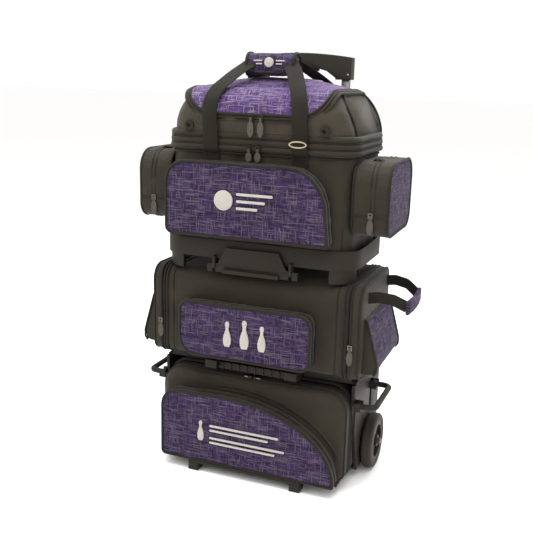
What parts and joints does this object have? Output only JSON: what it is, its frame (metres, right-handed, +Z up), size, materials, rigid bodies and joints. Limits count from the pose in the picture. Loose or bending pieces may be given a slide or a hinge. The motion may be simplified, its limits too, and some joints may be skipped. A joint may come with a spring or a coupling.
{
  "type": "rolling bowling bag",
  "caption": "Three-tier rolling bowling bag: lift-off tote on a tray, slide-out middle tote, wheeled base with a zipped bag and telescopic pull handle.",
  "frame": {"origin": "on the floor, midway between the wheels and midway through the body's depth", "axes": "+X the user's right, +Y the back where the pull handle is, +Z up"},
  "size_m": [0.672, 0.359, 1.026],
  "materials": {
    "black_fabric": "woven polyester",
    "purple_fabric": "heathered cross-hatch weave",
    "webbing": "ribbed polyester webbing",
    "foam": "open-cell foam",
    "shell_plastic": "fine-grained moulded plastic",
    "grip_plastic": "soft-touch plastic",
    "tube_metal": "anodised",
    "steel": "plated",
    "ring_metal": "satin",
    "tyre": "soft tread",
    "rim": "moulded",
    "pull_rubber": "matte"
  },
  "bodies": {
    "cart": {"base_shell": "shell_plastic", "front_feet": "shell_plastic", "back_board": "shell_plastic", "outer_tubes": "tube_metal", "tube_bracket": "shell_plastic", "middle_shelf": "shell_plastic", "axle_bolts": "steel", "side_handle_brackets": "shell_plastic", "bottom_bag_body": "black_fabric", "bottom_ball_cups": "foam"},
    "bottom_flap": {"bottom_flap_panel": "black_fabric", "bottom_front_pocket": "purple_fabric", "bottom_zip_sliders": "steel"},
    "wheel_right": {"tyre_right": "tyre", "rim_right": "rim"},
    "wheel_left": {"tyre_left": "tyre", "rim_left": "rim"},
    "side_handle_right": {"side_handle_right": "shell_plastic"},
    "side_handle_left": {"side_handle_left": "shell_plastic"},
    "middle_tote": {"middle_tote_body": "black_fabric", "middle_front_pocket": "purple_fabric", "middle_ball_cups": "foam", "middle_zip_sliders": "steel"},
    "end_flap_right": {"end_panel_right": "black_fabric", "end_pocket_right": "purple_fabric"},
    "end_flap_left": {"end_panel_left": "black_fabric", "end_pocket_left": "purple_fabric"},
    "web_handle_right": {"end_strap_right": "webbing", "end_grip_right": "purple_fabric"},
    "web_handle_left": {"end_strap_left": "webbing", "end_grip_left": "purple_fabric"},
    "top_tote": {"top_tray": "shell_plastic", "top_tote_body": "black_fabric", "top_front_pocket": "purple_fabric", "side_pocket_right": "purple_fabric", "side_pocket_left": "purple_fabric", "strap_anchors": "webbing", "top_ball_cups": "foam", "side_pocket_sliders": "steel", "upper_back_panel": "black_fabric"},
    "latch": {"latch_plate": "shell_plastic"},
    "hood": {"upper_shell": "black_fabric", "upper_fittings": "shell_plastic", "strap_roots": "webbing", "strap_ring": "ring_metal"},
    "lid": {"lid_flap": "purple_fabric", "carry_strap_back": "webbing", "handle_wrap": "purple_fabric"},
    "front_straps": {"carry_strap_front": "webbing"},
    "pull_handle": {"inner_tubes": "tube_metal", "handle_grip": "grip_plastic"},
    "trigger": {"release_trigger": "grip_plastic"},
    "pull_lid_left": {"pull_lid_left": "pull_rubber"},
    "pull_lid_right": {"pull_lid_right": "pull_rubber"},
    "pull_band_left": {"pull_band_left": "pull_rubber"},
    "pull_band_right": {"pull_band_right": "pull_rubber"},
    "pull_pocket_right": {"pull_pocket_right": "pull_rubber"},
    "pull_pocket_left": {"pull_pocket_left": "pull_rubber"},
    "pull_end_right": {"pull_end_right": "pull_rubber"},
    "pull_end_left": {"pull_end_left": "pull_rubber"}
  },
  "joints": [
    {"name": "pull_handle_slide", "type": "slide", "parent": "cart", "child": "pull_handle", "axis": [0, 0, 1], "range_m": [0, 0.22]},
    {"name": "trigger_press", "type": "slide", "parent": "pull_handle", "child": "trigger", "axis": [0, 0, 1], "range_m": [0, 0.007], "stiffness_N_per_m": 400, "springref_m": -0.005},
    {"name": "wheel_right_spin", "type": "hinge", "parent": "cart", "child": "wheel_right", "pos_m": [0, 0.037, 0.069], "axis": [1, 0, 0], "continuous": true},
    {"name": "wheel_left_spin", "type": "hinge", "parent": "cart", "child": "wheel_left", "pos_m": [0, 0.037, 0.069], "axis": [1, 0, 0], "continuous": true},
    {"name": "side_handle_right_fold", "type": "hinge", "parent": "cart", "child": "side_handle_right", "pos_m": [0.26, 0, 0.212], "axis": [0, 1, 0], "range_deg": [0, 88]},
    {"name": "side_handle_left_fold", "type": "hinge", "parent": "cart", "child": "side_handle_left", "pos_m": [-0.26, 0, 0.212], "axis": [0, -1, 0], "range_deg": [0, 88]},
    {"name": "bottom_flap_open", "type": "hinge", "parent": "cart", "child": "bottom_flap", "pos_m": [0, -0.181, 0.0294], "axis": [1, 0, 0], "range_deg": [0, 50]},
    {"name": "middle_tote_remove", "type": "slide", "parent": "cart", "child": "middle_tote", "axis": [0, -1, 0], "range_m": [0, 0.3]},
    {"name": "end_flap_right_open", "type": "hinge", "parent": "middle_tote", "child": "end_flap_right", "pos_m": [0.24, 0, 0.287], "axis": [0, 1, 0], "range_deg": [0, 50]},
    {"name": "end_flap_left_open", "type": "hinge", "parent": "middle_tote", "child": "end_flap_left", "pos_m": [-0.24, 0, 0.287], "axis": [0, -1, 0], "range_deg": [0, 50]},
    {"name": "web_handle_right_swing", "type": "hinge", "parent": "end_flap_right", "child": "web_handle_right", "pos_m": [0.266, 0, 0.476], "axis": [0, 1, 0], "range_deg": [0, 50]},
    {"name": "web_handle_left_swing", "type": "hinge", "parent": "end_flap_left", "child": "web_handle_left", "pos_m": [-0.266, 0, 0.476], "axis": [0, 1, 0], "range_deg": [0, 50]},
    {"name": "top_tote_lift", "type": "slide", "parent": "cart", "child": "top_tote", "axis": [0, 0, 1], "range_m": [0, 0.25]},
    {"name": "latch_open", "type": "hinge", "parent": "top_tote", "child": "latch", "pos_m": [0, -0.1465, 0.527], "axis": [1, 0, 0], "range_deg": [0, 90]},
    {"name": "hood_open", "type": "hinge", "parent": "top_tote", "child": "hood", "pos_m": [0, 0.117, 0.927], "axis": [-1, 0, 0], "range_deg": [0, 60]},
    {"name": "lid_open", "type": "hinge", "parent": "hood", "child": "lid", "pos_m": [0, 0.109, 0.931], "axis": [1, 0, 0], "range_deg": [-60, 0]},
    {"name": "front_straps_fold", "type": "hinge", "parent": "hood", "child": "front_straps", "pos_m": [0, -0.156, 0.872], "axis": [1, 0, 0], "range_deg": [0, 90]},
    {"name": "pull_lid_left_swing", "type": "hinge", "parent": "hood", "child": "pull_lid_left", "pos_m": [-0.009, -0.1494, 0.874], "axis": [-1, 0, 0], "range_deg": [0, 80]},
    {"name": "pull_lid_right_swing", "type": "hinge", "parent": "hood", "child": "pull_lid_right", "pos_m": [0.015, -0.1494, 0.874], "axis": [-1, 0, 0], "range_deg": [0, 80]},
    {"name": "pull_band_left_swing", "type": "hinge", "parent": "hood", "child": "pull_band_left", "pos_m": [-0.014, -0.1454, 0.804], "axis": [-1, 0, 0], "range_deg": [0, 80]},
    {"name": "pull_band_right_swing", "type": "hinge", "parent": "hood", "child": "pull_band_right", "pos_m": [0.008, -0.1454, 0.804], "axis": [-1, 0, 0], "range_deg": [0, 80]},
    {"name": "pull_pocket_right_swing", "type": "hinge", "parent": "top_tote", "child": "pull_pocket_right", "pos_m": [0.27, -0.1254, 0.672], "axis": [-1, 0, 0], "range_deg": [0, 80]},
    {"name": "pull_pocket_left_swing", "type": "hinge", "parent": "top_tote", "child": "pull_pocket_left", "pos_m": [-0.27, -0.1254, 0.672], "axis": [-1, 0, 0], "range_deg": [0, 80]},
    {"name": "pull_end_right_swing", "type": "hinge", "parent": "middle_tote", "child": "pull_end_right", "pos_m": [0.244, -0.1424, 0.368], "axis": [-1, 0, 0], "range_deg": [0, 80]},
    {"name": "pull_end_left_swing", "type": "hinge", "parent": "middle_tote", "child": "pull_end_left", "pos_m": [-0.244, -0.1424, 0.368], "axis": [-1, 0, 0], "range_deg": [0, 80]}
  ],
  "couplings": [
    {"joint": "front_straps_fold", "follows": "lid_open", "ratio": -1.5}
  ]
}
